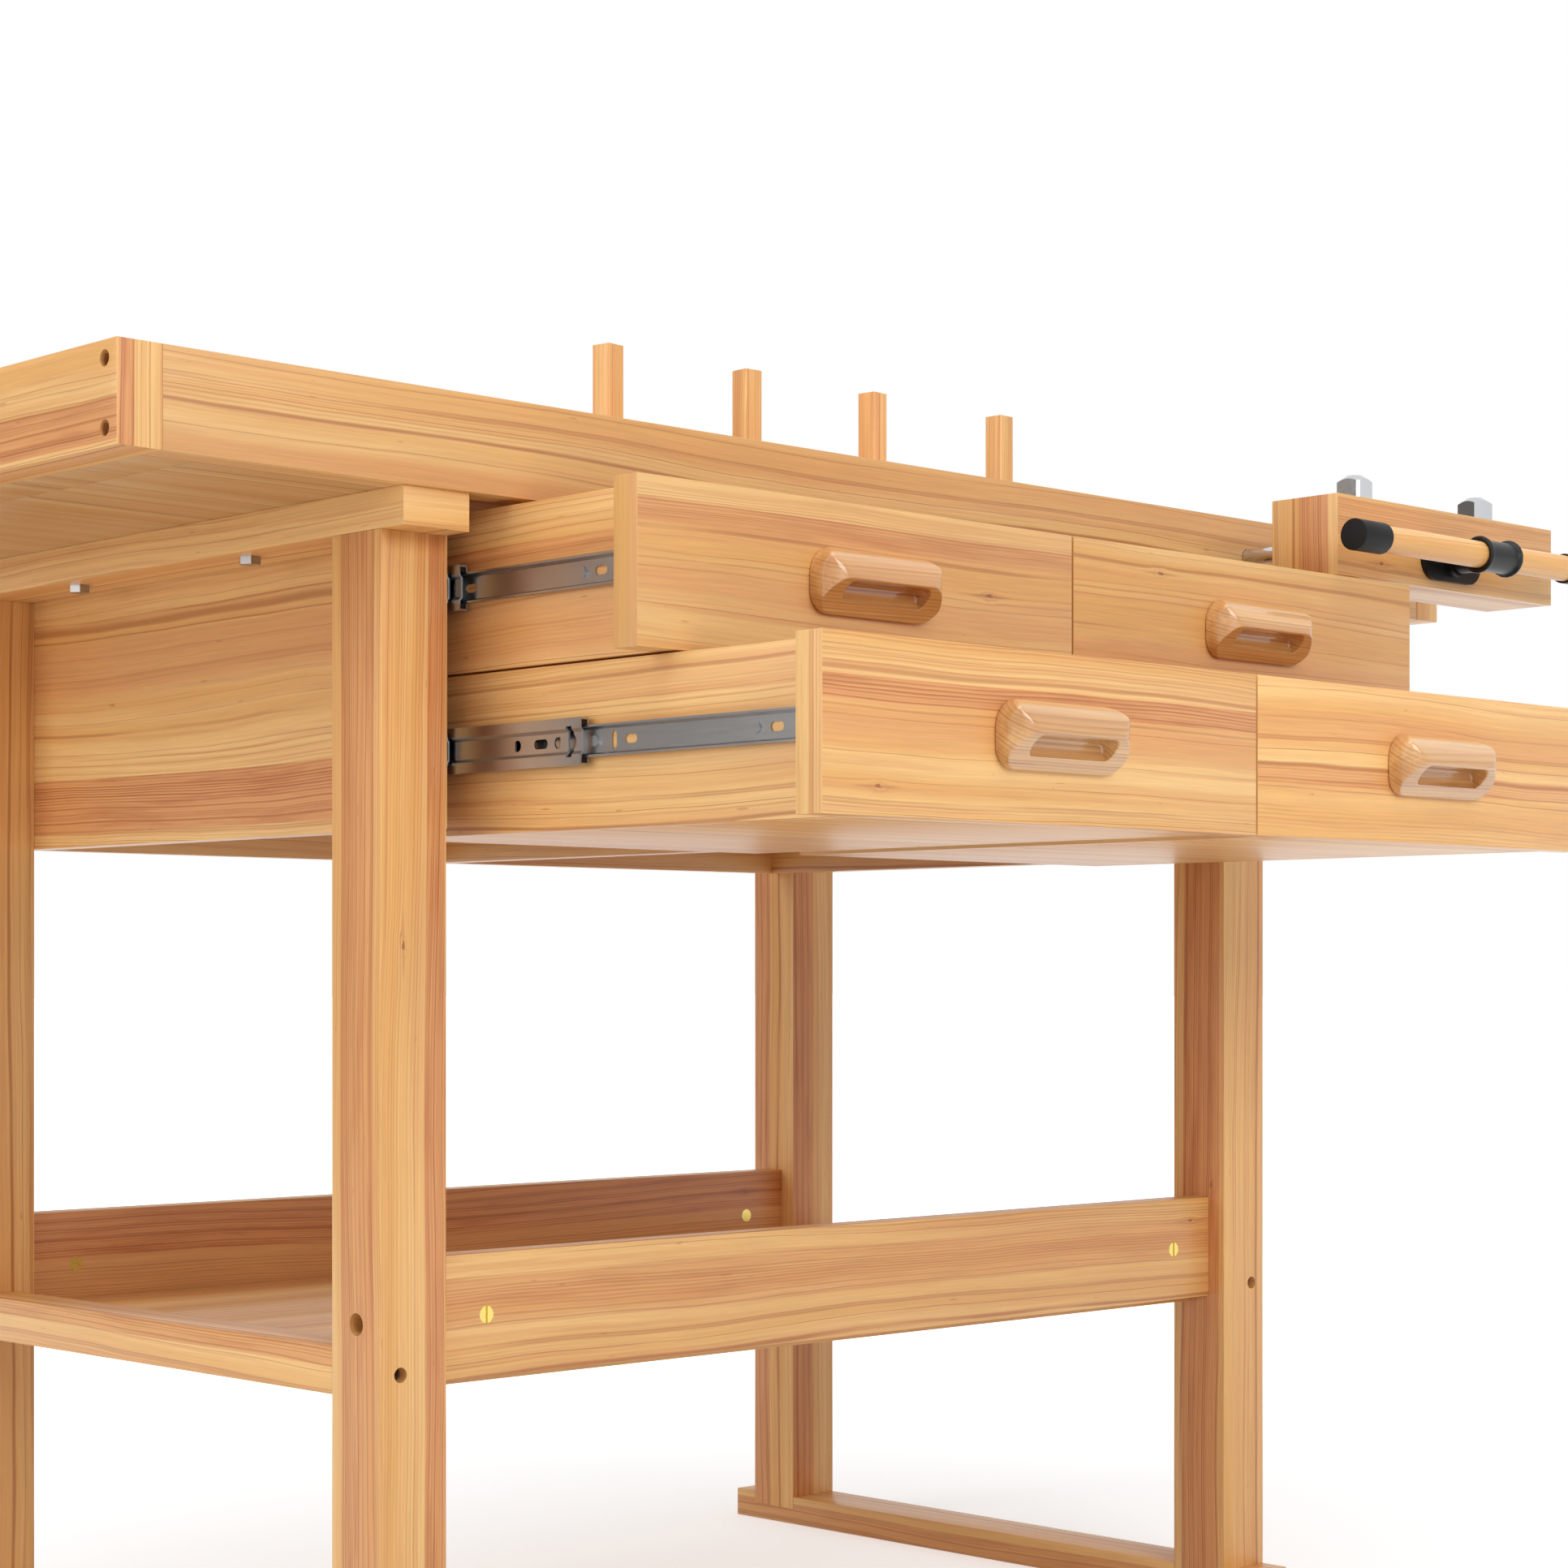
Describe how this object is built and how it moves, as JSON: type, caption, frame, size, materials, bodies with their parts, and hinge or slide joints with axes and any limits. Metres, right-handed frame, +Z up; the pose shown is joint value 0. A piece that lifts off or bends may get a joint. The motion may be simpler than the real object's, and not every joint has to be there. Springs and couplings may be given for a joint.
{
  "type": "woodworking bench",
  "caption": "Wooden woodworking bench on a legged frame with a front and an end vise, bench dogs, drawers on telescopic slides and a low shelf.",
  "frame": {"origin": "on the floor, under the middle of everything as it rests", "axes": "+X to the right along the bench's length, +Y to its back, +Z up"},
  "size_m": [1.4034, 0.9128, 0.947],
  "materials": {
    "pine": "satin varnish",
    "varnished_pine": "gloss varnish",
    "zinc_steel": "bright zinc",
    "polished_steel": "polished",
    "black_iron": "black satin paint",
    "dark_steel": "black oxide",
    "brass": "satin",
    "black_rubber": "matt"
  },
  "bodies": {
    "bench": {"top_boards": "pine", "front_apron": "pine", "rear_apron": "pine", "left_end_cap": "pine", "right_end_cap": "pine", "underside_boards": "pine", "top_bearers": "pine", "top_beams": "pine", "beam_bolts": "zinc_steel", "legs": "pine", "feet": "pine", "long_shelf_rails": "pine", "end_shelf_rails": "pine", "shelf_boards": "pine", "side_panels": "pine", "back_panel": "pine", "centre_divider": "pine", "cabinet_runners": "zinc_steel", "vise_nut_plates": "black_iron", "socket_bolts": "dark_steel", "barrel_nuts": "brass"},
    "upper_left_drawer": {"upper_left_drawer_front": "pine", "upper_left_drawer_box": "pine", "upper_left_drawer_pull": "varnished_pine", "upper_left_drawer_runners": "zinc_steel"},
    "upper_left_middle_slides": {"upper_left_middle_slides": "zinc_steel"},
    "upper_right_drawer": {"upper_right_drawer_front": "pine", "upper_right_drawer_box": "pine", "upper_right_drawer_pull": "varnished_pine", "upper_right_drawer_runners": "zinc_steel"},
    "upper_right_middle_slides": {"upper_right_middle_slides": "zinc_steel"},
    "lower_left_drawer": {"lower_left_drawer_front": "pine", "lower_left_drawer_box": "pine", "lower_left_drawer_pull": "varnished_pine", "lower_left_drawer_runners": "zinc_steel"},
    "lower_left_middle_slides": {"lower_left_middle_slides": "zinc_steel"},
    "lower_right_drawer": {"lower_right_drawer_front": "pine", "lower_right_drawer_box": "pine", "lower_right_drawer_pull": "varnished_pine", "lower_right_drawer_runners": "zinc_steel"},
    "lower_right_middle_slides": {"lower_right_middle_slides": "zinc_steel"},
    "front_vise_jaw": {"front_vise_jaw": "pine", "front_vise_guide_rods": "polished_steel", "front_vise_flange": "black_iron", "front_vise_flange_screws": "black_iron"},
    "front_vise_screw": {"front_vise_screw": "black_iron"},
    "front_vise_handle": {"front_vise_handle": "pine", "front_vise_handle_caps": "black_rubber"},
    "end_vise_jaw": {"end_vise_jaw": "pine", "end_vise_guide_rods": "polished_steel", "end_vise_flange": "black_iron"},
    "end_vise_screw": {"end_vise_screw": "black_iron"},
    "end_vise_handle": {"end_vise_handle": "pine", "end_vise_handle_caps": "black_rubber"},
    "wooden_dog_1": {"wooden_dog_1": "pine"},
    "wooden_dog_2": {"wooden_dog_2": "pine"},
    "wooden_dog_3": {"wooden_dog_3": "pine"},
    "wooden_dog_4": {"wooden_dog_4": "pine"},
    "steel_dog_1": {"steel_dog_1": "polished_steel"},
    "steel_dog_2": {"steel_dog_2": "polished_steel"}
  },
  "joints": [
    {"name": "upper_left_drawer_slide", "type": "slide", "parent": "bench", "child": "upper_left_drawer", "axis": [0, -1, 0], "range_m": [-0.176, 0.204]},
    {"name": "upper_left_middle_slide", "type": "slide", "parent": "bench", "child": "upper_left_middle_slides", "axis": [0, -1, 0], "range_m": [-0.0463, 0.0535]},
    {"name": "upper_right_drawer_slide", "type": "slide", "parent": "bench", "child": "upper_right_drawer", "axis": [0, -1, 0], "range_m": [-0.176, 0.204]},
    {"name": "upper_right_middle_slide", "type": "slide", "parent": "bench", "child": "upper_right_middle_slides", "axis": [0, -1, 0], "range_m": [-0.0463, 0.0535]},
    {"name": "lower_left_drawer_slide", "type": "slide", "parent": "bench", "child": "lower_left_drawer", "axis": [0, -1, 0], "range_m": [-0.3278, 0.0522]},
    {"name": "lower_left_middle_slide", "type": "slide", "parent": "bench", "child": "lower_left_middle_slides", "axis": [0, -1, 0], "range_m": [-0.1644, 0.0266]},
    {"name": "lower_right_drawer_slide", "type": "slide", "parent": "bench", "child": "lower_right_drawer", "axis": [0, -1, 0], "range_m": [-0.3278, 0.0522]},
    {"name": "lower_right_middle_slide", "type": "slide", "parent": "bench", "child": "lower_right_middle_slides", "axis": [0, -1, 0], "range_m": [-0.1644, 0.0266]},
    {"name": "front_vise_jaw_slide", "type": "slide", "parent": "bench", "child": "front_vise_jaw", "axis": [0, -1, 0], "range_m": [-0.071, 0.08]},
    {"name": "front_vise_screw_turn", "type": "hinge", "parent": "front_vise_jaw", "child": "front_vise_screw", "pos_m": [0.39186, -0.3042, 0.808], "axis": [0, 1, 0], "range_deg": [0, 270]},
    {"name": "front_vise_handle_slide", "type": "slide", "parent": "front_vise_screw", "child": "front_vise_handle", "axis": [1, 0, 0], "range_m": [-0.0757, 0.1223]},
    {"name": "end_vise_jaw_slide", "type": "slide", "parent": "bench", "child": "end_vise_jaw", "axis": [1, 0, 0], "range_m": [-0.0198, 0.1]},
    {"name": "end_vise_screw_turn", "type": "hinge", "parent": "end_vise_jaw", "child": "end_vise_screw", "pos_m": [0.68755, 0.1614, 0.808], "axis": [1, 0, 0], "range_deg": [-1440, 7300]},
    {"name": "end_vise_handle_slide", "type": "slide", "parent": "end_vise_screw", "child": "end_vise_handle", "axis": [0, 1, 0], "range_m": [-0.099, 0.099]},
    {"name": "wooden_dog_1_lift", "type": "slide", "parent": "bench", "child": "wooden_dog_1", "axis": [0, 0, 1], "range_m": [0, 0.07]},
    {"name": "wooden_dog_2_lift", "type": "slide", "parent": "bench", "child": "wooden_dog_2", "axis": [0, 0, 1], "range_m": [0, 0.07]},
    {"name": "wooden_dog_3_lift", "type": "slide", "parent": "bench", "child": "wooden_dog_3", "axis": [0, 0, 1], "range_m": [0, 0.07]},
    {"name": "wooden_dog_4_lift", "type": "slide", "parent": "bench", "child": "wooden_dog_4", "axis": [0, 0, 1], "range_m": [0, 0.07]},
    {"name": "steel_dog_1_lift", "type": "slide", "parent": "front_vise_jaw", "child": "steel_dog_1", "axis": [0, 0, 1], "range_m": [0, 0.03]},
    {"name": "steel_dog_2_lift", "type": "slide", "parent": "front_vise_jaw", "child": "steel_dog_2", "axis": [0, 0, 1], "range_m": [0, 0.03]}
  ],
  "couplings": [
    {"joint": "upper_left_middle_slide", "follows": "upper_left_drawer_slide", "ratio": 0.26},
    {"joint": "upper_right_middle_slide", "follows": "upper_right_drawer_slide", "ratio": 0.26},
    {"joint": "lower_left_middle_slide", "follows": "lower_left_drawer_slide", "ratio": 0.5},
    {"joint": "lower_right_middle_slide", "follows": "lower_right_drawer_slide", "ratio": 0.5},
    {"joint": "end_vise_screw_turn", "follows": "end_vise_jaw_slide", "rad_per_m": 1256.6}
  ]
}
